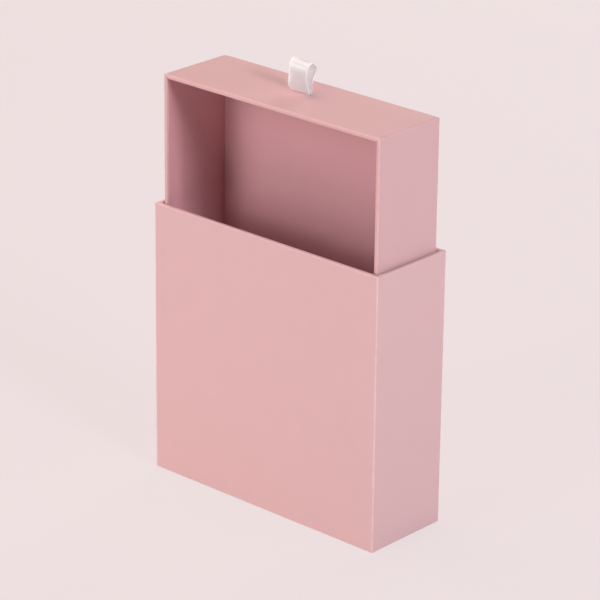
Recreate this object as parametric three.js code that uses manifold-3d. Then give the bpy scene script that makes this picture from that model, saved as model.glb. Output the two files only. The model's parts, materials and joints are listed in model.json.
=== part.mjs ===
// A rigid gift box: an upright sleeve of paper-wrapped board, closed at its foot, and a drawer
// that slides up out of it, with a ribbon loop to pull it by.
// Millimetres, +Z up. The sleeve stands on z = 0, centred on the origin, and -Y faces the viewer.

import * as THREE from 'three';
import { mergeVertices } from 'three/addons/utils/BufferGeometryUtils.js';
import Module from 'manifold-3d';

// The sleeve, outside
const SLEEVE_WIDTH = 150;
const SLEEVE_DEPTH = 51;
const SLEEVE_HEIGHT = 147;

// Sheets, by thickness
const SLEEVE_BOARD = 2;
const DRAWER_BOARD = 1.8;
const WRAP_PAPER = 0.2;
const LINING_PAPER = 0.18;
const STAY_TAPE = 0.08;
const GLUE_LINE = 0.02;

// How the sheets are cut
const SLEEVE_TURN_IN = 15;
const DRAWER_TURN_IN = 12;
const FOOT_TURN_IN = 15;
const LINING_SET_BACK = 1.5;
const COVER_SET_BACK = 1.5;
const TAPE_LEG = 11;

// How the drawer sits in the sleeve
const SLIDE_CLEARANCE = 0.7;
const END_CLEARANCE = 0.3;
const PULLED_OUT = 68.4;

// The ribbon and its slit in the drawer's top wall
const RIBBON_WIDTH = 15;
const RIBBON_THICKNESS = 0.25;
const LOOP_HEIGHT = 16.4;
const SLIT_OFF_CENTRE = -3.4;
const SLIT_FROM_BACK = 18.4;
const SLIT_CLEARANCE = 0.35;
const WEB_STANDS_PROUD = 0.3;
const PATCH_MARGIN = 4;
const PATCH_TO_BASE = 1.2;

// The loop's centre line seen from the right: how far behind the slit, and how high over the
// drawer's top face, as shares of the loop's height
const LOOP_SHARES = [
  [-0.03, 0.055], [-0.075, 0.13], [-0.108, 0.26], [-0.122, 0.4], [-0.116, 0.55],
  [-0.09, 0.68], [-0.055, 0.82], [-0.01, 0.915], [0.07, 0.975], [0.17, 0.992],
  [0.275, 0.94], [0.36, 0.86], [0.402, 0.775], [0.38, 0.67], [0.328, 0.58],
  [0.245, 0.485], [0.155, 0.375], [0.088, 0.25], [0.05, 0.13], [0.03, 0.055],
];
const LOOP_STEPS = 48;

// One overrun for every cut
const OVERRUN = 1;

const wasm = await Module();
wasm.setup();

// Materials, one for each kind of sheet
const finish = {
  board: { color: 0x9c958b, roughness: 0.95 },
  tape: { color: 0xd8c8a8, roughness: 0.9 },
  wrap: { color: 0xe0b2b2, roughness: 0.6 },
  lining: { color: 0xc99598, roughness: 0.7 },
  satin: { color: 0xf4ecec, roughness: 0.35 },
};

function addMesh(group, name, kind, geometry) {
  const material = new THREE.MeshStandardMaterial({ ...finish[kind], metalness: 0 });
  const mesh = new THREE.Mesh(geometry, material);
  mesh.name = name;
  group.add(mesh);
  return mesh;
}

// The depths of a wall's layers below its outer face
function wallLayers(board) {
  const tape = WRAP_PAPER + GLUE_LINE;
  const boardOuter = tape + STAY_TAPE + GLUE_LINE;
  const boardInner = boardOuter + board;
  const lining = boardInner + GLUE_LINE;
  const turnInFace = lining + WRAP_PAPER;
  const liningOverTurnIn = turnInFace + GLUE_LINE;
  return {
    skin: WRAP_PAPER,
    tape,
    boardOuter,
    boardInner,
    turnIn: lining,
    turnInFace,
    lining,
    liningFace: lining + LINING_PAPER,
    liningOverTurnIn,
    innermost: liningOverTurnIn + LINING_PAPER,
  };
}

// An open box in its own frame: base down at its foot, mouth up, centred on x = y = 0.
// skinFoot is the height of the wrap's lowest face.
function openBox(width, length, height, skinFoot, board, turnIn) {
  const boardFoot = skinFoot + WRAP_PAPER + GLUE_LINE;
  const boardTop = boardFoot + board;
  return {
    halfX: width / 2,
    halfY: length / 2,
    height,
    skinFoot,
    layer: wallLayers(board),
    boardFoot,
    rimFoot: height - WRAP_PAPER - GLUE_LINE,
    turnInFoot: height - turnIn,
    baseTop: boardTop,
    liningFoot: boardTop + GLUE_LINE,
    floor: boardTop + GLUE_LINE + LINING_PAPER,
    liningTop: height - LINING_SET_BACK,
  };
}

const sleeveBox = openBox(
  SLEEVE_WIDTH, SLEEVE_DEPTH, SLEEVE_HEIGHT, WRAP_PAPER + GLUE_LINE, SLEEVE_BOARD, SLEEVE_TURN_IN,
);

// The drawer fits the sleeve with a running clearance. When it is closed its top is level with
// the sleeve's mouth.
const SLEEVE_TO_DRAWER = sleeveBox.layer.innermost + SLIDE_CLEARANCE;
const DRAWER_WIDTH = SLEEVE_WIDTH - 2 * SLEEVE_TO_DRAWER;
const DRAWER_DEPTH = SLEEVE_DEPTH - 2 * SLEEVE_TO_DRAWER;
const DRAWER_LENGTH = SLEEVE_HEIGHT - sleeveBox.floor - END_CLEARANCE;
const DRAWER_TOP = SLEEVE_HEIGHT + PULLED_OUT;

const drawerBox = openBox(
  DRAWER_WIDTH, DRAWER_LENGTH, DRAWER_DEPTH, 0, DRAWER_BOARD, DRAWER_TURN_IN,
);

// A block between two heights whose sides lie at a depth below the box's outer faces
function core(box, depth, low, high) {
  const width = 2 * (box.halfX - depth);
  const length = 2 * (box.halfY - depth);
  const geometry = new THREE.BoxGeometry(width, length, high - low);
  geometry.translate(0, 0, (low + high) / 2);
  return toSolid(geometry);
}

function ring(box, outerDepth, innerDepth, low, high) {
  const bore = core(box, innerDepth, low - OVERRUN, high + OVERRUN);
  return core(box, outerDepth, low, high).subtract(bore);
}

function toSolid(geometry) {
  const bare = geometry.clone();
  bare.deleteAttribute('normal');
  bare.deleteAttribute('uv');
  const merged = mergeVertices(bare);
  return new wasm.Manifold(new wasm.Mesh({
    numProp: 3,
    vertProperties: new Float32Array(merged.attributes.position.array),
    triVerts: new Uint32Array(merged.index.array),
  }));
}

function toGeometry(solid) {
  const { vertProperties, triVerts } = solid.getMesh();
  const geometry = new THREE.BufferGeometry();
  geometry.setAttribute('position', new THREE.BufferAttribute(vertProperties, 3));
  geometry.setIndex(new THREE.BufferAttribute(triVerts, 1));
  geometry.computeVertexNormals();
  return geometry;
}

function addBlock(group, name, kind, low, high) {
  const size = high.map((value, i) => value - low[i]);
  const mesh = addMesh(group, name, kind, new THREE.BoxGeometry(...size));
  mesh.position.set(...high.map((value, i) => (value + low[i]) / 2));
  return mesh;
}

// Four wall boards: the two across the width run full width, and the side ones stand between them
function addWallBoards(group, box, names) {
  const { boardOuter, boardInner } = box.layer;
  const x = box.halfX - boardOuter;
  const y = box.halfY - boardOuter;
  const innerX = box.halfX - boardInner;
  const innerY = box.halfY - boardInner;
  const sideY = innerY - GLUE_LINE;
  const low = box.boardFoot;
  const high = box.rimFoot;
  addBlock(group, names.lowY, 'board', [-x, -y, low], [x, -innerY, high]);
  addBlock(group, names.highY, 'board', [-x, innerY, low], [x, y, high]);
  addBlock(group, names.lowX, 'board', [-x, -sideY, low], [-innerX, sideY, high]);
  addBlock(group, names.highX, 'board', [innerX, -sideY, low], [x, sideY, high]);
}

// The base board fits between the walls
function addBaseBoard(group, box, name) {
  const x = box.halfX - box.layer.boardInner - GLUE_LINE;
  const y = box.halfY - box.layer.boardInner - GLUE_LINE;
  addBlock(group, name, 'board', [-x, -y, box.boardFoot], [x, y, box.baseTop]);
}

// A strip of stay tape folded round each corner, between the boards and the wrap
function addCornerTapes(group, box, prefix) {
  const angle = new THREE.Shape([
    new THREE.Vector2(0, 0),
    new THREE.Vector2(TAPE_LEG, 0),
    new THREE.Vector2(TAPE_LEG, STAY_TAPE),
    new THREE.Vector2(STAY_TAPE, STAY_TAPE),
    new THREE.Vector2(STAY_TAPE, TAPE_LEG),
    new THREE.Vector2(0, TAPE_LEG),
  ]);
  const strip = new THREE.ExtrudeGeometry(angle, {
    depth: box.rimFoot - box.boardFoot,
    bevelEnabled: false,
  });
  const x = box.halfX - box.layer.tape;
  const y = box.halfY - box.layer.tape;
  const corners = [[-x, -y], [x, -y], [x, y], [-x, y]];
  corners.forEach(([cornerX, cornerY], i) => {
    const mesh = addMesh(group, `${prefix}_corner_tape_${i + 1}`, 'tape', strip.clone());
    mesh.position.set(cornerX, cornerY, box.boardFoot);
    mesh.rotation.z = (i * Math.PI) / 2;
  });
}

// The wrap covers the outside, folds over the rim and turns in over the boards' inner faces
function wrapSolid(box) {
  const { skin, turnIn, turnInFace } = box.layer;
  const outside = core(box, 0, box.skinFoot, box.height);
  const boards = core(box, skin, box.skinFoot + WRAP_PAPER, box.height - WRAP_PAPER);
  const flap = ring(box, turnIn, turnInFace, box.turnInFoot, box.height);
  const mouth = core(box, turnInFace, box.turnInFoot, box.height + OVERRUN);
  return outside.subtract(boards).add(flap).subtract(mouth);
}

// The wall lining lies on the boards, and steps up over the turned-in wrap near the mouth
function wallLiningSolid(box) {
  const { lining, liningFace, liningOverTurnIn, innermost } = box.layer;
  const stepTop = box.turnInFoot - GLUE_LINE;
  const stepFoot = stepTop - LINING_PAPER;
  const lower = ring(box, lining, liningFace, box.liningFoot, stepTop);
  const step = ring(box, lining, innermost, stepFoot, stepTop);
  const upper = ring(box, liningOverTurnIn, innermost, stepFoot, box.liningTop);
  return lower.add(step).add(upper);
}

function addBaseLining(group, box, name) {
  const x = box.halfX - box.layer.liningFace - GLUE_LINE;
  const y = box.halfY - box.layer.liningFace - GLUE_LINE;
  addBlock(group, name, 'lining', [-x, -y, box.liningFoot], [x, y, box.floor]);
}

function buildSleeve() {
  const sleeve = new THREE.Group();
  addWallBoards(sleeve, sleeveBox, {
    lowY: 'sleeve_front_board',
    highY: 'sleeve_back_board',
    lowX: 'sleeve_left_board',
    highX: 'sleeve_right_board',
  });
  addBaseBoard(sleeve, sleeveBox, 'sleeve_end_board');
  addCornerTapes(sleeve, sleeveBox, 'sleeve');

  const footCut = core(sleeveBox, FOOT_TURN_IN, -OVERRUN, sleeveBox.boardFoot);
  addMesh(sleeve, 'sleeve_wrap', 'wrap', toGeometry(wrapSolid(sleeveBox).subtract(footCut)));
  addMesh(sleeve, 'sleeve_lining', 'lining', toGeometry(wallLiningSolid(sleeveBox)));
  addBaseLining(sleeve, sleeveBox, 'sleeve_end_lining');

  const coverX = sleeveBox.halfX - COVER_SET_BACK;
  const coverY = sleeveBox.halfY - COVER_SET_BACK;
  addBlock(
    sleeve, 'sleeve_end_cover', 'wrap', [-coverX, -coverY, 0], [coverX, coverY, WRAP_PAPER],
  );
  return sleeve;
}

// The slit through the top wall, cut in the tray's frame, where the top wall is on the +Y side
function slitSolid() {
  const width = RIBBON_WIDTH + 2 * SLIT_CLEARANCE;
  const gap = 2 * (RIBBON_THICKNESS + SLIT_CLEARANCE);
  const depth = drawerBox.layer.innermost + 2 * OVERRUN;
  const geometry = new THREE.BoxGeometry(width, depth, gap);
  geometry.translate(SLIT_OFF_CENTRE, drawerBox.halfY + OVERRUN - depth / 2, SLIT_FROM_BACK);
  return toSolid(geometry);
}

function cutSlit(mesh) {
  const placed = mesh.geometry.clone().translate(...mesh.position.toArray());
  mesh.geometry = toGeometry(toSolid(placed).subtract(slitSolid()));
  mesh.position.set(0, 0, 0);
}

// The tray lies on its back in its own frame and is turned up to stand in the drawer
function buildTray() {
  const tray = new THREE.Group();
  addWallBoards(tray, drawerBox, {
    lowY: 'drawer_foot_wall_board',
    highY: 'drawer_pull_wall_board',
    lowX: 'drawer_left_wall_board',
    highX: 'drawer_right_wall_board',
  });
  addBaseBoard(tray, drawerBox, 'drawer_base_board');
  addCornerTapes(tray, drawerBox, 'drawer');
  addMesh(tray, 'drawer_wrap', 'wrap', toGeometry(wrapSolid(drawerBox)));
  addMesh(tray, 'drawer_wall_lining', 'lining', toGeometry(wallLiningSolid(drawerBox)));
  addBaseLining(tray, drawerBox, 'drawer_base_lining');
  ['drawer_pull_wall_board', 'drawer_wrap', 'drawer_wall_lining'].forEach((name) => {
    cutSlit(tray.getObjectByName(name));
  });
  tray.rotation.x = Math.PI / 2;
  tray.position.set(0, DRAWER_DEPTH / 2, DRAWER_LENGTH / 2);
  return tray;
}

// A profile drawn as (behind the slit, above the top face) and run across the ribbon's width
function ribbonProfile(points, width) {
  const geometry = new THREE.ExtrudeGeometry(new THREE.Shape(points), {
    depth: width,
    bevelEnabled: false,
  });
  geometry.translate(0, 0, -width / 2);
  return geometry;
}

function turnAcross(mesh) {
  mesh.rotation.set(Math.PI / 2, 0, Math.PI / 2, 'ZYX');
}

function loopOutline() {
  const points = LOOP_SHARES.map(([back, up]) => (
    new THREE.Vector2(back * LOOP_HEIGHT, up * LOOP_HEIGHT)
  ));
  const line = new THREE.SplineCurve(points);
  const outside = [];
  const inside = [];
  for (let i = 0; i <= LOOP_STEPS; i += 1) {
    const at = line.getPointAt(i / LOOP_STEPS);
    const along = line.getTangentAt(i / LOOP_STEPS);
    const side = new THREE.Vector2(-along.y, along.x).multiplyScalar(RIBBON_THICKNESS / 2);
    outside.push(at.clone().add(side));
    inside.unshift(at.clone().sub(side));
  }
  return [...outside, ...inside];
}

// The patch runs forward of the slit as far as it runs back, where it stops short of the base
const PATCH_REACH = SLIT_FROM_BACK - drawerBox.floor - PATCH_TO_BASE;
const TAIL_LENGTH = PATCH_REACH - PATCH_MARGIN;

// The two ends of the ribbon, pressed together in the slit and splayed flat inside the top wall
function tailsOutline(wall) {
  const splayTop = -wall - GLUE_LINE;
  const splayFoot = splayTop - RIBBON_THICKNESS;
  return [
    new THREE.Vector2(-RIBBON_THICKNESS, WEB_STANDS_PROUD),
    new THREE.Vector2(-RIBBON_THICKNESS, splayTop),
    new THREE.Vector2(-TAIL_LENGTH, splayTop),
    new THREE.Vector2(-TAIL_LENGTH, splayFoot),
    new THREE.Vector2(TAIL_LENGTH, splayFoot),
    new THREE.Vector2(TAIL_LENGTH, splayTop),
    new THREE.Vector2(RIBBON_THICKNESS, splayTop),
    new THREE.Vector2(RIBBON_THICKNESS, WEB_STANDS_PROUD),
  ];
}

function addAnchorPatch(group, wall) {
  const x = RIBBON_WIDTH / 2 + PATCH_MARGIN;
  const y = PATCH_REACH;
  const top = -wall - GLUE_LINE - RIBBON_THICKNESS - GLUE_LINE;
  addBlock(group, 'ribbon_anchor_patch', 'lining', [-x, -y, top - LINING_PAPER], [x, y, top]);
}

// The ribbon's frame has its origin at the middle of the slit, on the drawer's top face
function buildRibbon() {
  const ribbon = new THREE.Group();
  const wall = drawerBox.layer.innermost;
  const loop = ribbonProfile(loopOutline(), RIBBON_WIDTH);
  turnAcross(addMesh(ribbon, 'ribbon_loop', 'satin', loop));
  const tails = ribbonProfile(tailsOutline(wall), RIBBON_WIDTH);
  turnAcross(addMesh(ribbon, 'ribbon_tails', 'satin', tails));
  addAnchorPatch(ribbon, wall);
  ribbon.position.set(SLIT_OFF_CENTRE, DRAWER_DEPTH / 2 - SLIT_FROM_BACK, DRAWER_LENGTH);
  return ribbon;
}

function buildDrawer() {
  const drawer = new THREE.Group();
  drawer.add(buildTray(), buildRibbon());
  drawer.position.z = DRAWER_TOP - DRAWER_LENGTH;
  return drawer;
}

const giftBox = new THREE.Group();
giftBox.add(buildSleeve(), buildDrawer());

export default giftBox;
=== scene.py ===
# %% [markdown]
# # A gift box with a sliding drawer
# The box is grey board covered in soft pink paper: an upright sleeve, a drawer that slides up out
# of it, and a satin ribbon to pull by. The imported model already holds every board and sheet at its
# true size. This lesson dresses it: paper with rounded, folded edges, linings, ribbon and light.

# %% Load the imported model
import json
import math

import bmesh
import bpy
from mathutils import Matrix, Vector


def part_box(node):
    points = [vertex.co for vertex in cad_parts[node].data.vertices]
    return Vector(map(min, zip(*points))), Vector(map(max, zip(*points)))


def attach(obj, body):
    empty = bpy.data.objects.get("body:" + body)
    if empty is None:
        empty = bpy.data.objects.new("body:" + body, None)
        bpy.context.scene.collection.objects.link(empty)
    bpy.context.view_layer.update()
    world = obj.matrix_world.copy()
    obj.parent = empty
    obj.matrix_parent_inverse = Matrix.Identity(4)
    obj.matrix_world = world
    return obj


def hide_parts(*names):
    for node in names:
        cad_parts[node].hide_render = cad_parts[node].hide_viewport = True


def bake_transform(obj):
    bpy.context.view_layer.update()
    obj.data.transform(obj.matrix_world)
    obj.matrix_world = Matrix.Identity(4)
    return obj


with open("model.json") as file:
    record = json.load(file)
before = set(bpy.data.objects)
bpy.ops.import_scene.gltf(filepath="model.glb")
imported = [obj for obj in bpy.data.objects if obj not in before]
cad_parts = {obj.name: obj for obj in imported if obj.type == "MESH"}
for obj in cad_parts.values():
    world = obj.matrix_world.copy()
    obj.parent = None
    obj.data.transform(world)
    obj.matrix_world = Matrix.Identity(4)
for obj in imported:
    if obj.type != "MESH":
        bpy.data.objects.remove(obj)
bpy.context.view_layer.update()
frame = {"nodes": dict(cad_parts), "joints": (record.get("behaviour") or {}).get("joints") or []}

MM = 0.001
nodes = frame["nodes"]
joints = {joint["name"]: joint for joint in frame["joints"]}

# %% [markdown]
# ## The camera
# A long lens far away keeps the box's edges nearly parallel, as in the picture. The place and the
# three angles were solved from the straight edges of the box, so the view lines up with them.

# %% Camera
CAMERA_PLACE = (1.0236, -1.1287, 0.72)
CAMERA_AZIMUTH = math.radians(42.15)
CAMERA_ELEVATION = math.radians(21.908)
CAMERA_ROLL = math.radians(0.66)
SENSOR = 36.0
LENS = 196.15
CLIP_NEAR = 0.05
CLIP_FAR = 20


def make_camera():
    """A camera that looks down at the box from its right front."""
    data = bpy.data.cameras.new("camera")
    data.sensor_width = SENSOR
    data.lens = LENS
    data.clip_start = CLIP_NEAR
    data.clip_end = CLIP_FAR
    camera = bpy.data.objects.new("camera", data)
    bpy.context.scene.collection.objects.link(camera)
    turn = Matrix.Rotation(CAMERA_AZIMUTH, 4, "Z")
    tilt = Matrix.Rotation(math.pi / 2 - CAMERA_ELEVATION, 4, "X")
    roll = Matrix.Rotation(CAMERA_ROLL, 4, "Z")
    camera.matrix_world = Matrix.Translation(CAMERA_PLACE) @ turn @ tilt @ roll
    bpy.context.scene.camera = camera
    return camera


camera = make_camera()
bpy.context.scene.view_settings.view_transform = "Standard"
print("camera at", [round(value, 3) for value in camera.location])

# %% [markdown]
# ## Sizes that the pieces share
# The boxes that hold the CAD sheets give the large sizes: how wide the sleeve is, where its mouth
# is, how thick its rim is, so the new paper lies where the old one did. Only what such a box can't
# show is typed in: how thick a paper is, how far it is turned in, and how round its folds are.

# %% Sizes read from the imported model
sleeve_low, sleeve_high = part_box("sleeve_wrap")
drawer_low, drawer_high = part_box("drawer_wrap")
sleeve_size = sleeve_high - sleeve_low
drawer_size = drawer_high - drawer_low
sleeve_lining_low, sleeve_lining_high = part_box("sleeve_lining")
drawer_lining_low, drawer_lining_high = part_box("drawer_wall_lining")
base_low, base_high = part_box("drawer_base_lining")

PAPER = 0.2 * MM
LINING = 0.18 * MM
GLUE = 0.02 * MM
sleeve_rim = sleeve_lining_low.x - sleeve_low.x + PAPER
drawer_rim = drawer_lining_low.x - drawer_low.x + PAPER
SLEEVE_TURN_IN = 15 * MM
DRAWER_TURN_IN = 12 * MM
FOOT_TURN_IN = 15 * MM
EDGE_ROUND = 0.62 * MM
ROUND_STEPS = 4
print("rims, mm:", round(sleeve_rim / MM, 2), round(drawer_rim / MM, 2))

# %% [markdown]
# ## Shared mesh helpers
# Each piece starts as a bmesh, is shaped with operators and then becomes an object at the origin.
# The drawer is built lying on its back, mouth up, just like the sleeve, and turned up at the end,
# so that one recipe serves both.

# %% From bmesh to a piece that rides on a body
def even_shading(piece):
    """Lets the large flat faces rule the normals, so that only the rounded folds look round."""
    weigh = piece.modifiers.new("weigh", "WEIGHTED_NORMAL")
    weigh.keep_sharp = True
    weigh.weight = 100
    depsgraph = bpy.context.evaluated_depsgraph_get()
    shaded = bpy.data.meshes.new_from_object(piece.evaluated_get(depsgraph))
    piece.modifiers.clear()
    old = piece.data
    piece.data = shaded
    bpy.data.meshes.remove(old)
    shaded.name = piece.name


def finish_piece(bm, name, body, smooth_angle=35):
    """Turns a bmesh into a named object with smooth faces and sharp creases."""
    mesh = bpy.data.meshes.new(name)
    bm.to_mesh(mesh)
    bm.free()
    piece = bpy.data.objects.new(name, mesh)
    bpy.context.scene.collection.objects.link(piece)
    mesh.shade_smooth()
    mesh.set_sharp_from_angle(angle=math.radians(smooth_angle))
    even_shading(piece)
    if body:
        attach(piece, body)
    print(f"{name}: {len(piece.data.polygons)} faces")
    return piece


# %% Blocks, cuts, rounded edges and thickness
SNAP = 0.004 * MM


def block(size, middle):
    """A closed box of the given size around a middle point."""
    bm = bmesh.new()
    bmesh.ops.create_cube(bm, size=1)
    bmesh.ops.scale(bm, vec=size, verts=bm.verts)
    bmesh.ops.translate(bm, vec=middle, verts=bm.verts)
    return bm


def round_edges(bm, edges, offset, segments):
    bmesh.ops.bevel(
        bm, geom=edges, offset=offset, segments=segments, profile=0.5,
        affect="EDGES", material=-1, clamp_overlap=True,
    )


def cut(bm, place, normal, faces=None):
    """Cuts the given faces, or all, with a plane; points already on the plane are used again."""
    faces = bm.faces if faces is None else faces
    geom = {item for face in faces for item in (face, *face.edges, *face.verts)}
    bmesh.ops.bisect_plane(bm, geom=list(geom), plane_co=place, plane_no=normal, dist=SNAP)


def give_thickness(bm, thickness):
    """Turns a skin into a closed sheet, growing away from the side its faces point to."""
    bmesh.ops.remove_doubles(bm, verts=bm.verts, dist=SNAP)
    bmesh.ops.solidify(bm, geom=bm.faces, thickness=thickness)


# Lifts are noted on the skin and carried out once it has its thickness, so that the sheet keeps
# an even thickness in the narrowest groove
def note_lift(bm, vert, shift):
    vert[bm.verts.layers.float_vector["lift"]] += shift


def carry_out_lifts(bm):
    layer = bm.verts.layers.float_vector["lift"]
    for vert in bm.verts:
        vert.co += vert[layer]


# The drawer's own frame: its back lies on z = 0 and its top wall is on the +Y side
stand_up = (
    Matrix.Translation((0, drawer_high.y, (drawer_low.z + drawer_high.z) / 2))
    @ Matrix.Rotation(math.pi / 2, 4, "X")
)
drawer_width = drawer_size.x
drawer_length = drawer_size.z
drawer_depth = drawer_size.y
print("drawer, mm:", [round(value / MM, 1) for value in drawer_size])

# %% [markdown]
# ## Paper over board
# The wrap is one sheet: outside, over the rim, and turned in. A cube's mouth is inset to make the
# rim and pushed down to make the turned-in flap, then the folds are bevelled. A boolean of two
# boxes would give the same sizes but no soft folds, and the folds are what catches the light.

# %% The open box of paper
FLAT_ANGLE = math.radians(10)


def paper_box(width, length, height, rim, turn_in, foot_flap=None):
    """An open box of paper with its mouth up: outer skin, rim and turned-in flap."""
    bm = block((width, length, height), (0, 0, height / 2))
    mouth = max(bm.faces, key=lambda face: face.calc_center_median().z)
    bmesh.ops.inset_individual(bm, faces=[mouth], thickness=rim, use_even_offset=True)
    flap = bmesh.ops.extrude_face_region(bm, geom=[mouth])["geom"]
    flap_verts = [item for item in flap if isinstance(item, bmesh.types.BMVert)]
    bmesh.ops.translate(bm, vec=(0, 0, -turn_in), verts=flap_verts)
    open_faces = [item for item in flap if isinstance(item, bmesh.types.BMFace)]
    if foot_flap:
        foot = min(bm.faces, key=lambda face: face.calc_center_median().z)
        bmesh.ops.inset_individual(bm, faces=[foot], thickness=foot_flap, use_even_offset=True)
        open_faces.append(foot)
    bmesh.ops.delete(bm, geom=open_faces, context="FACES_ONLY")
    if mouth.is_valid:
        bmesh.ops.delete(bm, geom=[mouth], context="FACES_ONLY")
    bmesh.ops.recalc_face_normals(bm, faces=bm.faces)
    bm.verts.layers.float_vector.new("lift")
    return bm


def is_fold(edge, width, length):
    """The folds are the edges between two walls, or between a wall and the rim or foot."""
    if len(edge.link_faces) != 2:
        return False
    flat = edge.calc_face_angle() < FLAT_ANGLE
    middle = (edge.verts[0].co + edge.verts[1].co) / 2
    inside = abs(middle.x) < width / 2 - GLUE and abs(middle.y) < length / 2 - GLUE
    upright = abs(edge.verts[0].co.z - edge.verts[1].co.z) > MM
    return not flat and not (inside and upright)


def round_folds(bm, width, length):
    folds = [edge for edge in bm.edges if is_fold(edge, width, length)]
    round_edges(bm, folds, EDGE_ROUND, ROUND_STEPS)
    print("rounded folds:", len(folds))


# %% [markdown]
# ## Lap seams
# A wrap is glued down flap over flap. Where a flap ends, about a millimetre short of the corner,
# its edge stands one paper's thickness proud and leaves a fine dark line. Three close cuts give
# the line something to bend along: one at the corner side, one in the groove, one on the flap. A
# bump in the material could draw the line too, but would be lost at the outline and in the mesh.

# %% Cut and lift a lap seam
LAP_SET_BACK = 1.25 * MM
LAP_LINE = 0.22 * MM
LAP_LIFT = 0.12 * MM
LAP_GROOVE = 0.1 * MM
SEAM_START = LAP_LINE * 0.25
GROOVE_END = LAP_LINE * 0.75
SEAM_END = LAP_LINE * 1.25
LEAST_FACING = 0.05


def lap_seams(bm, seams, side):
    """Lifts the flap between two seams on the wall that faces that side of Y."""
    low, high = seams
    for x, inward in ((low, 1), (high, -1)):
        for step in range(3):
            cut(bm, (x + inward * step * LAP_LINE / 2, 0, 0), (1, 0, 0))
    bm.normal_update()
    for vert in bm.verts:
        reach = min(vert.co.x - low, high - vert.co.x)
        facing = max(vert.normal.y * side, 0)
        if reach < SEAM_START or facing < LEAST_FACING or vert.co.y * side < 0:
            continue
        rise = -LAP_GROOVE if reach < GROOVE_END else LAP_LIFT
        note_lift(bm, vert, Vector((0, side * facing * rise, 0)))


# %% [markdown]
# ## Mitred corners
# At each corner of the rim two turned-in flaps meet along a mitre. They never quite close: a small
# dark nick stays at the inside corner. The mitre's edge is bevelled into a narrow strip, and the
# strip's middle is pressed in, more and more towards the inside. A boolean groove would be as
# deep but would leave slivers; pressing keeps the sheet whole.

# %% Press the mitres in
MITRE_WIDTH = 0.14 * MM
MITRE_OPENING = 2.2
MITRE_DEPTH = 0.6 * MM
MITRE_REACH = 3 * MM
MITRE_SLACK = GLUE / 4
SHARE_SLACK = 0.01
PRESS_POWER = 1.5
OPENING_POWER = 2


def press_mitres(bm, width, length, height, rim):
    """Makes a groove from the middle of the rim to a little way down the turned-in corner."""
    offset = (width - length) / 2
    foot = height - MITRE_REACH
    flap = [
        face for face in bm.faces
        if all(
            abs(vert.co.x) < width / 2 - GLUE and abs(vert.co.y) < length / 2 - GLUE
            and vert.co.z > MM for vert in face.verts
        )
    ]
    cut(bm, (0, 0, foot), (0, 0, 1), flap)

    def on_mitre(vert):
        return abs(abs(vert.co.x) - abs(vert.co.y) - offset) < MITRE_SLACK

    def share_at(vert):
        """Nought where the groove runs out, one at the inside corner of the rim."""
        inset = width / 2 - abs(vert.co.x)
        along_rim = (inset - EDGE_ROUND) / (rim - EDGE_ROUND)
        up_corner = (vert.co.z - foot) / MITRE_REACH
        return min(along_rim, up_corner, 1)

    mitres = [
        edge for edge in bm.edges
        if all(on_mitre(vert) and share_at(vert) > -SHARE_SLACK for vert in edge.verts)
    ]
    round_edges(bm, mitres, MITRE_WIDTH, 2)
    bm.normal_update()
    pressed = [vert for vert in bm.verts if on_mitre(vert) and share_at(vert) > 0]
    for vert in pressed:
        share = max(share_at(vert), 0)
        note_lift(bm, vert, -vert.normal * MITRE_DEPTH * share ** PRESS_POWER)
        for edge in vert.link_edges:
            lip = edge.other_vert(vert)
            if not on_mitre(lip):
                note_lift(bm, lip, (lip.co - vert.co) * MITRE_OPENING * share ** OPENING_POWER)
    print("edges along the mitres:", len(mitres), "points pressed in:", len(pressed))


# %% [markdown]
# ## The sleeve's wrap
# The sleeve's sheet runs round the four walls and laps over itself at a back corner. Under the
# foot it is turned in by 15 mm, and the end cover hides the middle. It could be folded up from one
# flat net, but the recipe above gives the same folds in a few lines.

# %% Sleeve wrap
def make_sleeve_wrap():
    width, length, height = sleeve_size
    bm = paper_box(width, length, height, sleeve_rim, SLEEVE_TURN_IN, FOOT_TURN_IN)
    round_folds(bm, width, length)
    press_mitres(bm, width, length, height, sleeve_rim)
    lap_seams(bm, (-width / 2 + LAP_SET_BACK, width), 1)
    give_thickness(bm, PAPER)
    carry_out_lifts(bm)
    bmesh.ops.translate(bm, vec=(0, 0, sleeve_low.z), verts=bm.verts)
    return finish_piece(bm, "sleeve_wrap_paper", "sleeve")


sleeve_wrap = make_sleeve_wrap()
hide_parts("sleeve_wrap")

# %% [markdown]
# ## The drawer's wrap
# The drawer's sheet starts at its back and folds up over four walls. The side flaps go on first,
# and the top and bottom flaps cover their ends, so a lap seam runs near each end of the top wall.
# The ribbon's slit is cut out of the top flap with four straight cuts, which leave cleaner faces
# than a boolean would.

# %% Drawer wrap with its slit
tails_low, tails_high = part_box("ribbon_tails")
RIBBON_TRIM = 0.6 * MM
RIBBON_WIDTH = tails_high.x - tails_low.x - RIBBON_TRIM
# The slit squeezes the ribbon to a share of its width. The loop stands a little to the right of the
# CAD's, and its foot is shifted a little further
RIBBON_SQUEEZE = 0.78
RIBBON_ASIDE = 0.95 * MM
RIBBON_SHIFT = 1.0 * MM
SLIT_CLEARANCE = 0.3 * MM
SLIT_GAP = 1.2 * MM
slit_x = (tails_low.x + tails_high.x) / 2 + RIBBON_ASIDE
slit_y = joints["ribbon_lean"]["pos_m"][1]
slit_from_back = drawer_high.y - slit_y
slit_middle = slit_x + RIBBON_SHIFT
slit_half = RIBBON_WIDTH * RIBBON_SQUEEZE / 2 + SLIT_CLEARANCE
NOTCH_LENGTH = 5.5 * MM
NOTCH_WIDTH = 0.9 * MM


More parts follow.
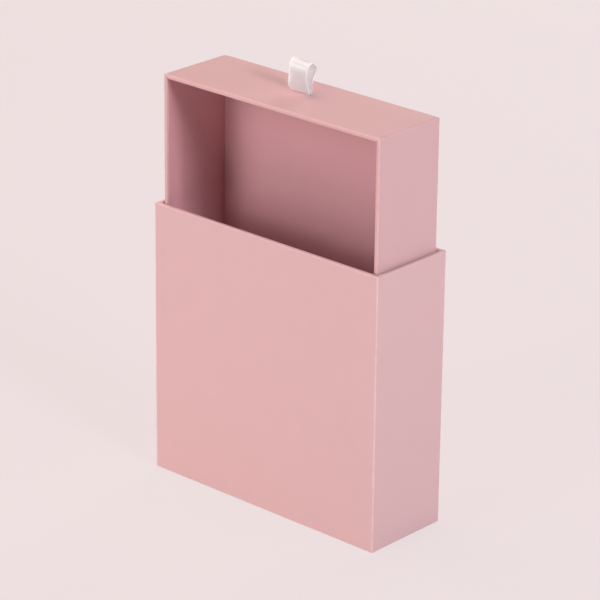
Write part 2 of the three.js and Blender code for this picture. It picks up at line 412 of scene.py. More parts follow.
def cut_slit(bm, wall_y):
    """Cuts a slot in the top wall, which lies on the +Y side here."""
    half_gap = SLIT_GAP / 2
    cuts = [
        ((slit_middle - slit_half, 0, 0), (1, 0, 0)),
        ((slit_middle + slit_half, 0, 0), (1, 0, 0)),
        ((0, 0, slit_from_back - half_gap), (0, 0, 1)),
        ((0, 0, slit_from_back + half_gap), (0, 0, 1)),
    ]
    for place, normal in cuts:
        wall = [face for face in bm.faces if face.calc_center_median().y > wall_y - 2 * PAPER]
        cut(bm, place, normal, wall)
    hole = []
    for face in bm.faces:
        middle = face.calc_center_median()
        across = abs(middle.x - slit_middle) < slit_half
        along = abs(middle.z - slit_from_back) < half_gap
        if across and along and middle.y > wall_y - 2 * PAPER:
            hole.append(face)
    bmesh.ops.delete(bm, geom=hole, context="FACES")
    print("slit faces removed:", len(hole))


def open_notches(bm, width, wall_y):
    """Where a lap seam starts at the back, the flap's edge leaves a small wedge open."""
    seam = width / 2 - LAP_SET_BACK
    cut(bm, (0, 0, NOTCH_LENGTH), (0, 0, 1))
    for vert in bm.verts:
        reach = seam - abs(vert.co.x)
        near_back = 1 - vert.co.z / NOTCH_LENGTH
        if near_back <= 0 or abs(vert.co.y) < wall_y - MM:
            continue
        if SEAM_START < reach < SEAM_END:
            share = near_back * min(reach / LAP_LINE, 1)
            aside = -math.copysign(NOTCH_WIDTH * share, vert.co.x)
            down = 0
            if reach < GROOVE_END:
                down = -math.copysign(LAP_GROOVE * 2 * near_back, vert.co.y)
            note_lift(bm, vert, Vector((aside, down, 0)))


def make_drawer_wrap():
    width, length, height = drawer_width, drawer_length, drawer_depth
    bm = paper_box(width, length, height, drawer_rim, DRAWER_TURN_IN)
    round_folds(bm, width, length)
    press_mitres(bm, width, length, height, drawer_rim)
    seam = width / 2 - LAP_SET_BACK
    for side in (1, -1):
        lap_seams(bm, (-seam, seam), side)
    open_notches(bm, width, length / 2)
    cut_slit(bm, length / 2)
    give_thickness(bm, PAPER)
    carry_out_lifts(bm)
    bmesh.ops.transform(bm, matrix=stand_up, verts=bm.verts)
    return finish_piece(bm, "drawer_wrap_paper", "drawer")


drawer_wrap = make_drawer_wrap()
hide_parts("drawer_wrap")

# %% [markdown]
# ## The drawer's lining
# The wall lining is a strip pasted round the inside. It starts a little below the rim, so that the
# turned-in wrap shows as a narrow band, steps down where the wrap ends, and turns each corner with
# a small radius. The base lining is a separate sheet that the walls' lining frames. The wrap's own
# faces could be coloured as a lining, but then there would be no step and no edge to catch light.

# %% Wall lining
INNER_ROUND = 0.45 * MM
STEP_SLOPE = 1.6 * MM


def make_wall_lining():
    width = drawer_lining_high.x - drawer_lining_low.x
    length = drawer_lining_high.z - drawer_lining_low.z
    foot = drawer_high.y - drawer_lining_high.y
    top = drawer_high.y - drawer_lining_low.y
    bm = block((width, length, top - foot), (0, 0, (top + foot) / 2))
    ends = [face for face in bm.faces if abs(face.normal.z) > 0.5]
    bmesh.ops.delete(bm, geom=ends, context="FACES_ONLY")
    step_top = drawer_depth - DRAWER_TURN_IN
    for z in (step_top, step_top - STEP_SLOPE):
        cut(bm, (0, 0, z), (0, 0, 1))
    over_flap = PAPER + GLUE
    for vert in bm.verts:
        if vert.co.z > step_top - GLUE:
            vert.co.x -= math.copysign(over_flap, vert.co.x)
            vert.co.y -= math.copysign(over_flap, vert.co.y)
    corners = [
        edge for edge in bm.edges
        if abs(edge.verts[0].co.z - edge.verts[1].co.z) > MM
    ]
    round_edges(bm, corners, INNER_ROUND, 3)
    bmesh.ops.recalc_face_normals(bm, faces=bm.faces)
    give_thickness(bm, LINING)
    bmesh.ops.transform(bm, matrix=stand_up, verts=bm.verts)
    return finish_piece(bm, "drawer_wall_lining_paper", "drawer")


wall_lining = make_wall_lining()
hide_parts("drawer_wall_lining")

# %% Base lining, very slightly domed
BASE_DOME = 0.25 * MM
BASE_CUTS = 12


def make_base_lining():
    size = base_high - base_low
    middle = (base_low + base_high) / 2
    bm = block(size, middle)
    long_edges = [edge for edge in bm.edges if edge.calc_length() > size.y * 2]
    bmesh.ops.subdivide_edges(bm, edges=long_edges, cuts=BASE_CUTS, use_grid_fill=True)
    for vert in bm.verts:
        across = 1 - ((vert.co.x - middle.x) / (size.x / 2)) ** 2
        along = 1 - ((vert.co.z - middle.z) / (size.z / 2)) ** 2
        vert.co.y -= BASE_DOME * across * along
    return finish_piece(bm, "drawer_base_lining_paper", "drawer")


base_lining = make_base_lining()
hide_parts("drawer_base_lining")

# %% [markdown]
# ## The ribbon
# The pull is satin, 14.4 mm wide, with a fine raised selvedge along each edge. It comes up through
# the slit, turns over in a drop-shaped loop and goes back down. A cloth simulation could fold such
# a loop, but wouldn't stop at the pictured shape. So the section is drawn once, flat in the middle
# and beaded at the ends, and extruded from station to station along the loop, turning as it rises.

# %% The ribbon's path
# Seen from the right: behind the slit and above the top wall, as shares of the loop's height
LOOP_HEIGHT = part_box("ribbon_loop")[1].z - drawer_high.z
LOOP_SHARES = [
    (-0.026, 0.0), (-0.06, 0.035), (-0.084, 0.1), (-0.1, 0.18), (-0.125, 0.283), (-0.136, 0.425),
    (-0.138, 0.563), (-0.13, 0.718), (-0.102, 0.845), (-0.047, 0.921), (0.019, 0.962),
    (0.1, 0.988), (0.183, 0.975), (0.254, 0.928), (0.299, 0.864), (0.31, 0.783), (0.29, 0.698),
    (0.25, 0.624), (0.191, 0.541), (0.131, 0.453), (0.075, 0.351), (0.042, 0.246),
    (0.03, 0.132), (0.026, 0.0),
]
TWIST_TOP = math.radians(-10.5)
TILT_TOP = math.radians(0.5)
TWIST_HEIGHT = 9 * MM
SQUEEZE_HEIGHT = 2.8 * MM
RIBBON_THICK = 0.2 * MM
TAIL_BEND = 0.8 * MM
PATH_STEPS = 16
STATIONS = 120


def ribbon_line():
    """The ribbon's centre line as (behind, up) points, from one tail's end to the other's."""
    splay = tails_low.z + RIBBON_THICK / 2 - drawer_high.z
    loop = [(behind * LOOP_HEIGHT, up * LOOP_HEIGHT) for behind, up in LOOP_SHARES]
    front_end = tails_low.y - slit_y
    back_end = tails_high.y - slit_y
    gap = LOOP_SHARES[-1][0] * LOOP_HEIGHT
    lift = splay + TAIL_BEND / 4
    front = [(front_end, splay), (-gap - 2 * TAIL_BEND, splay), (-gap - TAIL_BEND / 2, lift)]
    back = [(gap + TAIL_BEND / 2, lift), (gap + 2 * TAIL_BEND, splay), (back_end, splay)]
    return [*front, (-gap, splay / 2), *loop, (gap, splay / 2), *back]


def smooth_path(points, count):
    """Even points along a smooth curve through the given points, and the curve's length."""
    curve = bpy.data.curves.new("path", "CURVE")
    curve.dimensions = "3D"
    spline = curve.splines.new("BEZIER")
    spline.bezier_points.add(len(points) - 1)
    for target, (behind, up) in zip(spline.bezier_points, points):
        target.co = (0, behind, up)
        target.handle_left_type = "AUTO"
        target.handle_right_type = "AUTO"
    spline.resolution_u = PATH_STEPS
    holder = bpy.data.objects.new("path", curve)
    bpy.context.scene.collection.objects.link(holder)
    depsgraph = bpy.context.evaluated_depsgraph_get()
    mesh = holder.evaluated_get(depsgraph).to_mesh()
    dense = [vert.co.copy() for vert in mesh.vertices]
    holder.evaluated_get(depsgraph).to_mesh_clear()
    bpy.data.objects.remove(holder)
    bpy.data.curves.remove(curve)
    lengths = [0.0]
    for before, after in zip(dense, dense[1:]):
        lengths.append(lengths[-1] + (after - before).length)
    even = []
    place = 0
    for i in range(count + 1):
        want = lengths[-1] * i / count
        while place < len(lengths) - 2 and lengths[place + 1] < want:
            place += 1
        span = lengths[place + 1] - lengths[place]
        even.append(dense[place].lerp(dense[place + 1], (want - lengths[place]) / span))
    return even, lengths[-1]


path, ribbon_length = smooth_path(ribbon_line(), STATIONS)
print("ribbon length, mm:", round(ribbon_length / MM, 1))

# %% The ribbon's section and its run along the path
SELVEDGE = 0.25 * MM
BEAD_POINTS = 7
BEAD_START = -120
BEAD_TURN = 40
WIDTH_CUTS = 14


def ribbon_section(bm):
    """A flat closed ring across X with a bead at each end."""
    half = RIBBON_WIDTH / 2
    bead_centre = half - SELVEDGE
    ring = []
    for side in (1, -1):
        for step in range(BEAD_POINTS):
            angle = math.radians(BEAD_START + BEAD_TURN * step)
            across = bead_centre + SELVEDGE * math.cos(angle)
            ring.append((side * across, side * SELVEDGE * math.sin(angle)))
        for place in range(1, WIDTH_CUTS):
            share = 1 - 2 * place / WIDTH_CUTS
            across = (bead_centre - 2 * SELVEDGE) * share
            ring.append((side * across, side * RIBBON_THICK / 2))
    verts = [bm.verts.new((across, 0, out)) for across, out in ring]
    edges = [bm.edges.new((verts[i - 1], verts[i])) for i in range(len(verts))]
    return verts, edges


def ease(share):
    """Nought to one with a soft start and a soft end."""
    share = min(max(share, 0), 1)
    return share * share * (3 - 2 * share)


def station_frame(point, tangent):
    """Where a section goes: across the ribbon, along the path and out of its face.

    The slit holds the ribbon a little narrower and to one side, and the line across it turns and
    tips as it rises.
    """
    twist = TWIST_TOP * ease(point.z / TWIST_HEIGHT)
    held = ease(1 - abs(point.z) / SQUEEZE_HEIGHT)
    along = tangent.normalized()
    tip = math.tan(TILT_TOP) * ease(point.z / LOOP_HEIGHT)
    across = Vector((math.cos(twist), math.sin(twist), -tip)).normalized()
    out = across.cross(along).normalized()
    width = across * (1 - (1 - RIBBON_SQUEEZE) * held)
    place = Vector((slit_x + RIBBON_SHIFT * held, slit_y, drawer_high.z)) + point
    local = Matrix((width, along, out)).transposed().to_4x4()
    return Matrix.Translation(place) @ local


def make_ribbon():
    bm = bmesh.new()
    uv_layer = bm.loops.layers.uv.new("ribbon_uv")
    verts, edges = ribbon_section(bm)
    bm.faces.new(verts)
    frames = []
    for i, point in enumerate(path):
        before = path[max(i - 1, 0)]
        after = path[min(i + 1, STATIONS)]
        frames.append(station_frame(point, after - before))
    rest = {vert: (vert.co.x, 0.0) for vert in verts}
    bmesh.ops.transform(bm, matrix=frames[0], verts=verts)
    for i in range(1, STATIONS + 1):
        made = bmesh.ops.extrude_edge_only(bm, edges=edges)["geom"]
        new_verts = [item for item in made if isinstance(item, bmesh.types.BMVert)]
        edges = [
            item for item in made
            if isinstance(item, bmesh.types.BMEdge) and all(v in new_verts for v in item.verts)
        ]
        step = frames[i] @ frames[i - 1].inverted()
        bmesh.ops.transform(bm, matrix=step, verts=new_verts)
        back = frames[i].inverted()
        for vert in new_verts:
            rest[vert] = ((back @ vert.co).x, ribbon_length * i / STATIONS)
    bmesh.ops.contextual_create(bm, geom=edges)
    bmesh.ops.recalc_face_normals(bm, faces=bm.faces)
    for face in bm.faces:
        for loop in face.loops:
            across, along = rest[loop.vert]
            loop[uv_layer].uv = (across / RIBBON_WIDTH + 0.5, along / RIBBON_WIDTH)
    return finish_piece(bm, "ribbon_pull", None, smooth_angle=50)


ribbon = make_ribbon()
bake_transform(ribbon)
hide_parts("ribbon_loop", "ribbon_tails")

# %% [markdown]
# ## Node groups that the papers share
# Paper is never one flat colour: fibres mottle it, its surface has a fine tooth, and its folds are
# painted a little paler, partly as rubbed wear and partly as a painted highlight. Each of these
# could be wired anew in every material. As one group with named inputs it is made once, and each
# paper only gives it values of its own.

# %% A small kit for wiring nodes
def link_nodes(tree, source, target):
    tree.links.new(source, target)


def add_node(tree, kind, place, **values):
    node = tree.nodes.new(kind)
    node.location = place
    for key, value in values.items():
        setattr(node, key, value)
    return node


def plug(tree, value, socket):
    """Links an output to a socket, or sets the socket when it is given a plain value."""
    if isinstance(value, bpy.types.NodeSocket):
        link_nodes(tree, value, socket)
    else:
        socket.default_value = value


def set_inputs(node, **values):
    """Sets sockets by their names, with an underscore for each space."""
    for label, value in values.items():
        node.inputs[label.replace("_", " ")].default_value = value


def math_node(tree, operation, place, *values):
    node = add_node(tree, "ShaderNodeMath", place, operation=operation)
    for socket, value in zip(node.inputs, values):
        plug(tree, value, socket)
    return node.outputs[0]


def mix_node(tree, place, factor, first, second):
    """A mix of two colours, each a plain colour or another node's output."""
    node = add_node(tree, "ShaderNodeMix", place, data_type="RGBA")
    for label, value in (("Factor", factor), ("A", first), ("B", second)):
        plug(tree, value, node.inputs[label])
    return node.outputs["Result"]


def noise_node(tree, place, vector, scale, detail, roughness=0.5):
    node = add_node(tree, "ShaderNodeTexNoise", place)
    plug(tree, vector, node.inputs["Vector"])
    plug(tree, scale, node.inputs["Scale"])
    set_inputs(node, Detail=detail, Roughness=roughness)
    return node.outputs[0]


def add_bump(tree, shader, height, strength, distance):
    bump = add_node(tree, "ShaderNodeBump", (-300, -300))
    set_inputs(bump, Strength=strength, Distance=distance)
    link_nodes(tree, height, bump.inputs["Height"])
    link_nodes(tree, bump.outputs["Normal"], shader.inputs["Normal"])


def new_group(name, inputs, outputs):
    """A shader node group with named sockets, and its two end nodes."""
    tree = bpy.data.node_groups.new(name, "ShaderNodeTree")
    for label, kind, default in inputs:
        socket = tree.interface.new_socket(label, in_out="INPUT", socket_type=kind)
        if default is not None:
            socket.default_value = default
    for label, kind in outputs:
        tree.interface.new_socket(label, in_out="OUTPUT", socket_type=kind)
    start = add_node(tree, "NodeGroupInput", (-900, 0))
    end = add_node(tree, "NodeGroupOutput", (700, 0))
    return tree, start, end


# %% Fibres: a mottle of tone and a fine tooth
FIBRE_STRETCH = (1.0, 1.0, 0.35)
FIBRE_TURN = (0.3, 0.5, 0.2)
MOTTLE_SHARE = 0.6
TOOTH_SHARE = 0.4


def make_fibre_group():
    tree, start, end = new_group(
        "paper_fibres",
        [
            ("Vector", "NodeSocketVector", None),
            ("Mottle scale", "NodeSocketFloat", 90.0),
            ("Tooth scale", "NodeSocketFloat", 2600.0),
        ],
        [("Tone", "NodeSocketFloat"), ("Height", "NodeSocketFloat")],
    )
    vector, mottle_scale, tooth_scale = list(start.outputs)[:3]
    mottle = noise_node(tree, (-600, 200), vector, mottle_scale, detail=4, roughness=0.6)
    stretch = add_node(tree, "ShaderNodeMapping", (-700, -100))
    set_inputs(stretch, Scale=FIBRE_STRETCH, Rotation=FIBRE_TURN)
    link_nodes(tree, vector, stretch.inputs["Vector"])
    stretched = stretch.outputs["Vector"]
    tooth = noise_node(tree, (-450, -100), stretched, tooth_scale, detail=3, roughness=0.65)
    part = math_node(tree, "MULTIPLY", (-200, 150), mottle, MOTTLE_SHARE)
    rest = math_node(tree, "MULTIPLY", (-200, -50), tooth, TOOTH_SHARE)
    tone = math_node(tree, "ADD", (0, 100), part, rest)
    link_nodes(tree, tone, end.inputs["Tone"])
    link_nodes(tree, tooth, end.inputs["Height"])
    return tree


fibre_group = make_fibre_group()
print("group:", fibre_group.name, len(fibre_group.nodes), "nodes")

# %% Folds painted paler for wear and a painted highlight: a mask that is one at a box's edges and corners
WEAR_AND_HIGHLIGHT_WIDTH = 0.8 * MM
WEAR_AND_HIGHLIGHT_RAGGEDNESS = 260


def make_fold_wear_highlight_group():
    """A point lies on a fold where two of its three distances to the box's faces are small."""
    tree, start, end = new_group(
        "fold_wear_and_painted_highlight",
        [
            ("Vector", "NodeSocketVector", None),
            ("Centre", "NodeSocketVector", None),
            ("Half size", "NodeSocketVector", None),
            ("Width", "NodeSocketFloat", WEAR_AND_HIGHLIGHT_WIDTH),
        ],
        [("Mask", "NodeSocketFloat"), ("Upright highlight", "NodeSocketFloat")],
    )
    away = add_node(tree, "ShaderNodeVectorMath", (-700, 100), operation="SUBTRACT")
    link_nodes(tree, start.outputs["Vector"], away.inputs[0])
    link_nodes(tree, start.outputs["Centre"], away.inputs[1])
    size = add_node(tree, "ShaderNodeVectorMath", (-550, 100), operation="ABSOLUTE")
    link_nodes(tree, away.outputs[0], size.inputs[0])
    gap = add_node(tree, "ShaderNodeVectorMath", (-400, 100), operation="SUBTRACT")
    link_nodes(tree, start.outputs["Half size"], gap.inputs[0])
    link_nodes(tree, size.outputs[0], gap.inputs[1])
    split = add_node(tree, "ShaderNodeSeparateXYZ", (-250, 100))
    link_nodes(tree, gap.outputs[0], split.inputs[0])
    x, y, z = split.outputs
    low = math_node(tree, "MINIMUM", (-100, 200), x, y)
    high = math_node(tree, "MAXIMUM", (-100, 50), x, y)
    rest = math_node(tree, "MINIMUM", (50, 0), high, z)
    second = math_node(tree, "MAXIMUM", (200, 100), low, rest)
    noise = noise_node(tree, (-250, -200), start.outputs["Vector"], WEAR_AND_HIGHLIGHT_RAGGEDNESS, detail=3)
    ragged = math_node(tree, "MULTIPLY", (0, -200), noise, start.outputs["Width"])
    reach = math_node(tree, "MULTIPLY", (150, -200), ragged, 2.0)
    # First mask: every fold, for wear and a painted highlight. Second: the upright edges only, for a
    # painted highlight.
    for nearness, label, row in ((second, "Mask", 0), (high, "Upright highlight", -200)):
        share = math_node(tree, "DIVIDE", (350, row), nearness, reach)
        mask = math_node(tree, "SUBTRACT", (500, row), 1.0, share)
        held = add_node(tree, "ShaderNodeClamp", (600, row))
        link_nodes(tree, mask, held.inputs["Value"])
        link_nodes(tree, held.outputs[0], end.inputs[label])
    return tree


fold_wear_highlight_group = make_fold_wear_highlight_group()
print("group:", fold_wear_highlight_group.name, len(fold_wear_highlight_group.nodes), "nodes")

# %% [markdown]
# ## Paper
# The soft-touch paper is matt with a faint sheen. Its tone wanders by a per cent or two, the folds
# are painted a little paler, partly as wear and partly as a painted highlight, and a very fine bump
# breaks up the highlight along the edges. An image of paper would repeat and show seams; noise in
# Object coordinates runs on over every fold.

# %% Paper materials
PAPER_TOOTH = 0.04
TOOTH_HEIGHT = 0.05 * MM
ROUGHNESS_WANDER = 0.12
# How much paler the folds are painted (wear and painted highlight), and the upright edges (painted
# highlight)
FOLD_WEAR_AND_HIGHLIGHT_PALE = 1.18
UPRIGHT_HIGHLIGHT_PALE = 1.4


def new_material(name):
    material = bpy.data.materials.new(name)
    material.use_nodes = True
    tree = material.node_tree
    shader = tree.nodes["Principled BSDF"]
    return material, tree, shader


def use_group(tree, group, place, **values):
    node = add_node(tree, "ShaderNodeGroup", place, node_tree=group)
    set_inputs(node, **values)
    return node


def tinted(colour, share):
    """A darker or paler tone of a colour."""
    return tuple(min(channel * share, 1.0) for channel in colour) + (1.0,)


def paper_material(name, colour, box, roughness=0.62, fold_wear_and_highlight=0.7, upright_highlight=0.4, contrast=0.03):
    """Paper on a box: fibres for its tone and tooth, paler on the folds of that box: partly wear,
    partly a painted highlight, and a stronger painted highlight on its upright edges.
    """
    material, tree, shader = new_material(name)
    place = add_node(tree, "ShaderNodeTexCoord", (-1200, 0)).outputs["Object"]
    fibres = use_group(tree, fibre_group, (-950, 150))
    link_nodes(tree, place, fibres.inputs["Vector"])
    fibre_tone = fibres.outputs["Tone"]
    dark, pale = tinted(colour, 1 - contrast), tinted(colour, 1 + contrast)
    tone = mix_node(tree, (-700, 200), fibre_tone, dark, pale)
    low, high = box
    fold_wear_highlight_masks = use_group(
        tree, fold_wear_highlight_group, (-950, -150),
        Centre=tuple((low + high) / 2), Half_size=tuple((high - low) / 2),
    )
    link_nodes(tree, place, fold_wear_highlight_masks.inputs["Vector"])
    # Paint the folds paler for wear and a painted highlight, then the upright edges with a painted
    # highlight
    for label, strength, share, column in (
        ("Mask", fold_wear_and_highlight, FOLD_WEAR_AND_HIGHLIGHT_PALE, -500), ("Upright highlight", upright_highlight, UPRIGHT_HIGHLIGHT_PALE, -300),
    ):
        if strength == 0:
            continue
        mask = fold_wear_highlight_masks.outputs[label]
        amount = math_node(tree, "MULTIPLY", (column - 200, -150), mask, strength)
        tone = mix_node(tree, (column, 150), amount, tone, tinted(colour, share))
    link_nodes(tree, tone, shader.inputs["Base Color"])
    least = roughness - ROUGHNESS_WANDER / 2
    rough = math_node(tree, "MULTIPLY_ADD", (-600, -50), fibre_tone, ROUGHNESS_WANDER, least)
    link_nodes(tree, rough, shader.inputs["Roughness"])
    set_inputs(shader, Specular_IOR_Level=0.35, Sheen_Weight=0.08, Sheen_Roughness=0.5)
    add_bump(tree, shader, fibres.outputs["Height"], PAPER_TOOTH, TOOTH_HEIGHT)
    print("material:", name)
    return material


SLEEVE_PINK = (0.73, 0.46, 0.458)
DRAWER_PINK = (0.709, 0.419, 0.419)
# The lining's deeper, darker pink is partly a paper of its own and partly painted shade for the
# box's dim inside
LINING_PINK_AND_SHADE = (0.662, 0.346, 0.370)
# Only the sleeve's paper keeps the painted highlight on its upright edges
sleeve_paper = paper_material("soft_pink_paper_sleeve", SLEEVE_PINK, (sleeve_low, sleeve_high))
drawer_paper = paper_material(
    "soft_pink_paper_drawer", DRAWER_PINK, (drawer_low, drawer_high), upright_highlight=0,
)
cover_paper = paper_material(
    "soft_pink_paper_cover", SLEEVE_PINK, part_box("sleeve_end_cover"), fold_wear_and_highlight=0.3, upright_highlight=0,
)
sleeve_lining_paper = paper_material(
    "lining_paper_sleeve", LINING_PINK_AND_SHADE, (sleeve_lining_low, sleeve_lining_high),
    roughness=0.7, fold_wear_and_highlight=0, upright_highlight=0,
)
drawer_lining_paper = paper_material(
    "lining_paper_drawer", LINING_PINK_AND_SHADE, (drawer_lining_low, drawer_lining_high),
    roughness=0.7, fold_wear_and_highlight=0, upright_highlight=0,
)

# %% [markdown]
# ## Grey board and stay tape
# Both are hidden under the paper. They still get a true finish, because a cut-away or a later
# scene may show them: board is pressed waste paper full of specks, tape is plain brown-white
# paper. One recipe with two sets of colours makes both, since both are fibres with specks.

# %% Board and tape materials
SPECK_SIZE = 0.16


def board_material(name, colour, speck_colour, speck_scale):
    material, tree, shader = new_material(name)
    place = add_node(tree, "ShaderNodeTexCoord", (-1200, 0)).outputs["Object"]
    fibres = use_group(tree, fibre_group, (-950, 150), Mottle_scale=220.0, Tooth_scale=1800.0)
    link_nodes(tree, place, fibres.inputs["Vector"])
    dark, pale = tinted(colour, 0.86), tinted(colour, 1.12)
    pulp = mix_node(tree, (-600, 200), fibres.outputs["Tone"], dark, pale)
    specks = add_node(tree, "ShaderNodeTexVoronoi", (-900, -150))
    set_inputs(specks, Scale=speck_scale)
    link_nodes(tree, place, specks.inputs["Vector"])
    near = math_node(tree, "LESS_THAN", (-650, -150), specks.outputs["Distance"], SPECK_SIZE)
    speckled = mix_node(tree, (-350, 150), near, pulp, speck_colour)
    link_nodes(tree, speckled, shader.inputs["Base Color"])
    set_inputs(shader, Roughness=0.9)
    add_bump(tree, shader, fibres.outputs["Height"], strength=0.25, distance=0.08 * MM)
    print("material:", name)
    return material


grey_board = board_material("grey_board", (0.34, 0.31, 0.27), (0.14, 0.12, 0.11, 1), 420)
stay_tape = board_material("stay_tape", (0.72, 0.62, 0.47), (0.55, 0.44, 0.3, 1), 300)

# %% [markdown]
# ## Satin
# Satin's long floats run along the ribbon and mirror light in a soft streak across it. The weave
# follows the ribbon's own UV map: fine lines along it, a fainter rib across, and a denser selvedge
# at each edge, painted whiter, partly for its own weave and partly as a painted highlight along the
# edge.
# An image of a weave would do from afar; sines stay sharp up close.

# %% Satin weave
PICK_SLANT = 1.3
RIB_SHARE = 0.35
SELVEDGE_STARTS = 0.425
SLUB_SCALE = 14
SLUB_STRETCH = (4.0, 0.6, 1.0)


def make_satin_group():
    tree, start, end = new_group(
        "satin_weave",
        [("Vector", "NodeSocketVector", None), ("Threads", "NodeSocketFloat", 75.0)],
        [
            ("Tone", "NodeSocketFloat"),
            ("Height", "NodeSocketFloat"),
            ("Selvedge", "NodeSocketFloat"),
        ],
    )
    split = add_node(tree, "ShaderNodeSeparateXYZ", (-700, 0))
    link_nodes(tree, start.outputs["Vector"], split.inputs[0])
    across = split.outputs[0]
    along = split.outputs[1]
    turns = math_node(tree, "MULTIPLY", (-500, 150), across, start.outputs["Threads"])
    angle = math_node(tree, "MULTIPLY", (-350, 150), turns, 2 * math.pi)
    floats = math_node(tree, "SINE", (-200, 150), angle)
    picks = math_node(tree, "MULTIPLY", (-500, -50), along, start.outputs["Threads"])
    pick_angle = math_node(tree, "MULTIPLY", (-350, -50), picks, PICK_SLANT * math.pi)
    slanted = math_node(tree, "ADD", (-200, -50), pick_angle, turns)
    ribs = math_node(tree, "SINE", (-50, -50), slanted)
    faint = math_node(tree, "MULTIPLY", (100, -50), ribs, RIB_SHARE)
    height = math_node(tree, "ADD", (250, 50), floats, faint)
    stretch = add_node(tree, "ShaderNodeMapping", (-700, -300))
    set_inputs(stretch, Scale=SLUB_STRETCH)
    link_nodes(tree, start.outputs["Vector"], stretch.inputs["Vector"])
    slub = noise_node(tree, (-500, -300), stretch.outputs["Vector"], SLUB_SCALE, detail=3)
    from_middle = math_node(tree, "SUBTRACT", (-500, 400), across, 0.5)
    edge_near = math_node(tree, "ABSOLUTE", (-350, 400), from_middle)
    selvedge = math_node(tree, "GREATER_THAN", (-200, 400), edge_near, SELVEDGE_STARTS)
    link_nodes(tree, slub, end.inputs["Tone"])
    link_nodes(tree, height, end.inputs["Height"])
    link_nodes(tree, selvedge, end.inputs["Selvedge"])
    return tree


satin_group = make_satin_group()
print("group:", satin_group.name, len(satin_group.nodes), "nodes")

# %% Satin material
SATIN_DARK = (0.97, 0.855, 0.9, 1)
SATIN_PALE = (0.99, 0.9, 0.94, 1)
WHITER_SELVEDGE_AND_HIGHLIGHT = (1.0, 0.98, 0.985, 1)
SATIN_ROUGH = 0.46
SELVEDGE_ROUGHER = 0.1


def make_satin():
    material, tree, shader = new_material("white_satin")
    uv = add_node(tree, "ShaderNodeUVMap", (-1200, 0), uv_map="ribbon_uv").outputs[0]
    weave = use_group(tree, satin_group, (-950, 0))
    link_nodes(tree, uv, weave.inputs["Vector"])
    selvedge = weave.outputs["Selvedge"]
    body = mix_node(tree, (-600, 200), weave.outputs["Tone"], SATIN_DARK, SATIN_PALE)
    # The selvedge is painted whiter: partly its denser weave, partly a painted highlight along the
    # edge
    edged = mix_node(tree, (-350, 150), selvedge, body, WHITER_SELVEDGE_AND_HIGHLIGHT)
    link_nodes(tree, edged, shader.inputs["Base Color"])
    rough = math_node(
        tree, "MULTIPLY_ADD", (-600, -50), selvedge, SELVEDGE_ROUGHER, SATIN_ROUGH,
    )
    link_nodes(tree, rough, shader.inputs["Roughness"])
    floats_run = add_node(
        tree, "ShaderNodeTangent", (-300, -550), direction_type="UV_MAP", uv_map="ribbon_uv",
    )
    link_nodes(tree, floats_run.outputs[0], shader.inputs["Tangent"])
    set_inputs(shader, Anisotropic=0.95, IOR=2.0, Specular_IOR_Level=1.0)
    set_inputs(
        shader, Subsurface_Weight=1.0, Subsurface_Radius=(1, 1, 1), Subsurface_Scale=1.4 * MM,
    )
    set_inputs(shader, Sheen_Weight=0.2, Sheen_Roughness=0.35)
    add_bump(tree, shader, weave.outputs["Height"], strength=0.25, distance=0.03 * MM)
    return material


satin = make_satin()
print("material:", satin.name)

# %% [markdown]
# ## Dressing the pieces
# The five new pieces each get their finish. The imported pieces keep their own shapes, and their
# names tell what they are made of: board, tape or paper. Each could be dressed one by one, but a
# rule by name is shorter and misses none.

# %% Put each finish on its pieces
def dress(piece, material):
    piece.data.materials.clear()
    piece.data.materials.append(material)


dress(sleeve_wrap, sleeve_paper)
dress(drawer_wrap, drawer_paper)
dress(wall_lining, drawer_lining_paper)
dress(base_lining, drawer_lining_paper)
dress(ribbon, satin)
for name, node in nodes.items():
    if name.endswith("board"):
        dress(node, grey_board)
    elif "tape" in name:
        dress(node, stay_tape)
    elif name == "sleeve_end_cover":
        dress(node, cover_paper)
    elif name.startswith("sleeve"):
        dress(node, sleeve_lining_paper)
    else:
        dress(node, drawer_lining_paper)
print("CAD pieces dressed:", len(nodes))

# %% [markdown]
# ## Floor and backdrop
# The floor fills the whole view. For the camera it mostly shows the backdrop's own colour, so it
# stays even from edge to edge, and the rest of it is a true matt surface that keeps the shadow. A
# curved studio sweep would do as well, but its own shading would show towards the corners.

# %% Floor
BACKDROP = (0.847, 0.738, 0.738, 1)
FLOOR_SHOWN = (0.857, 0.756, 0.760, 1)
FLOOR_HALF = 4.0
FLOOR_CUTS = 8
FLOOR_GLOW = 0.86


def seen_directly(tree):
    """One for rays that the eye, a gloss or a clear surface sends out, nought for the rest."""
    rays = add_node(tree, "ShaderNodeLightPath", (-700, 400))
    seen = rays.outputs["Is Camera Ray"]
    for step, kind in enumerate(("Is Glossy Ray", "Is Transmission Ray")):
        seen = math_node(tree, "MAXIMUM", (-450 + 200 * step, 400), seen, rays.outputs[kind])
    return seen


def make_floor():
    bm = bmesh.new()
    bmesh.ops.create_grid(
        bm, x_segments=FLOOR_CUTS, y_segments=FLOOR_CUTS, size=FLOOR_HALF,
    )
    mesh = bpy.data.meshes.new("floor")
    bm.to_mesh(mesh)
    bm.free()
    floor = bpy.data.objects.new("floor", mesh)
    bpy.context.scene.collection.objects.link(floor)
    material, tree, shader = new_material("pale_floor")
    set_inputs(shader, Base_Color=BACKDROP, Roughness=0.9, Specular_IOR_Level=0.1)
    glow = add_node(tree, "ShaderNodeEmission", (0, -300))
    set_inputs(glow, Color=FLOOR_SHOWN)
    share = math_node(tree, "MULTIPLY", (0, 300), seen_directly(tree), FLOOR_GLOW)
    mixed = add_node(tree, "ShaderNodeMixShader", (300, 100))
    link_nodes(tree, share, mixed.inputs[0])
    link_nodes(tree, shader.outputs[0], mixed.inputs[1])
    link_nodes(tree, glow.outputs[0], mixed.inputs[2])
    link_nodes(tree, mixed.outputs[0], tree.nodes["Material Output"].inputs["Surface"])
    floor.data.materials.append(material)
    return floor


floor = make_floor()
print("floor, m:", [round(value, 1) for value in floor.dimensions])

# %% World
AMBIENT = (0.04, 0.04, 0.04, 1)


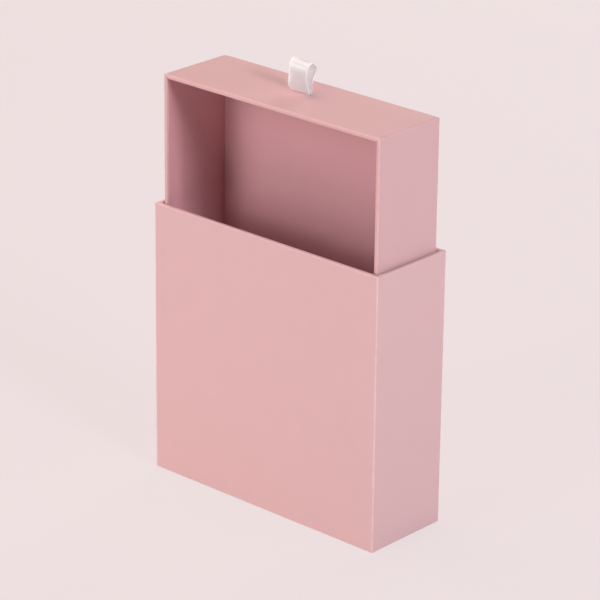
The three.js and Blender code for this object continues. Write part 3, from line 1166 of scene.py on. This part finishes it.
def make_world():
    world = bpy.data.worlds.new("studio")
    bpy.context.scene.world = world
    world.use_nodes = True
    tree = world.node_tree
    soft = tree.nodes["Background"]
    set_inputs(soft, Color=AMBIENT)
    shown = add_node(tree, "ShaderNodeBackground", (0, -200))
    set_inputs(shown, Color=BACKDROP)
    mixed = add_node(tree, "ShaderNodeMixShader", (300, 0))
    link_nodes(tree, seen_directly(tree), mixed.inputs[0])
    link_nodes(tree, soft.outputs[0], mixed.inputs[1])
    link_nodes(tree, shown.outputs[0], mixed.inputs[2])
    link_nodes(tree, mixed.outputs[0], tree.nodes["World Output"].inputs["Surface"])
    return world


world = make_world()
print("world:", world.name, "ambient", AMBIENT[0])

# %% [markdown]
# ## Lamps
# Plain soft studio light: square soft boxes around the box, strong enough for a colour to render
# about as it is written. One big lamp would be simpler, but the drawer's top and side would run
# together. So the two on the right are a touch cool and the broad one over the top left is a touch
# warm. Two white ones in front carry the sleeve's front, and a white one keeps the back from
# going dark. Their powers were fitted to how light each face of the box is in the picture.

# %% Lamps
BOX_MIDDLE = Vector((0, 0, 0.11))
LAMP_AWAY = 2.2


def soft_box(name, azimuth, elevation, size, power, colour):
    """A square soft lamp that faces the box; azimuth runs from the open front towards +X."""
    turn = math.radians(azimuth)
    rise = math.radians(elevation)
    away = Vector((
        math.sin(turn) * math.cos(rise), -math.cos(turn) * math.cos(rise), math.sin(rise),
    ))
    data = bpy.data.lights.new(name, "AREA")
    data.shape = "SQUARE"
    data.size = size
    data.energy = power
    data.color = colour
    lamp = bpy.data.objects.new(name, data)
    bpy.context.scene.collection.objects.link(lamp)
    lamp.location = BOX_MIDDLE + away * LAMP_AWAY
    lamp.rotation_euler = (-away).to_track_quat("-Z", "Y").to_euler()
    print(f"{name}: {power} W at {[round(value, 2) for value in lamp.location]}")
    return lamp


# Name, azimuth and elevation in degrees, size in metres, power in watts, colour
LAMPS = [
    ("right_key", 80, 28, 0.5, 24.9, (0.89, 0.951, 1.0)),
    ("right_fill", 110, 15, 1.0, 9.1, (0.693, 0.865, 1.0)),
    ("front_low", -20, 8, 1.0, 13.8, (0.99, 1.0, 1.0)),
    ("front_high", -8, 25, 1.0, 13.6, (1.0, 1.0, 1.0)),
    ("top_left", -90, 62, 1.9, 26.9, (1.0, 0.813, 0.713)),
    ("behind", -165, 6, 1.0, 38.0, (1.0, 1.0, 1.0)),
]
for lamp in LAMPS:
    soft_box(*lamp)
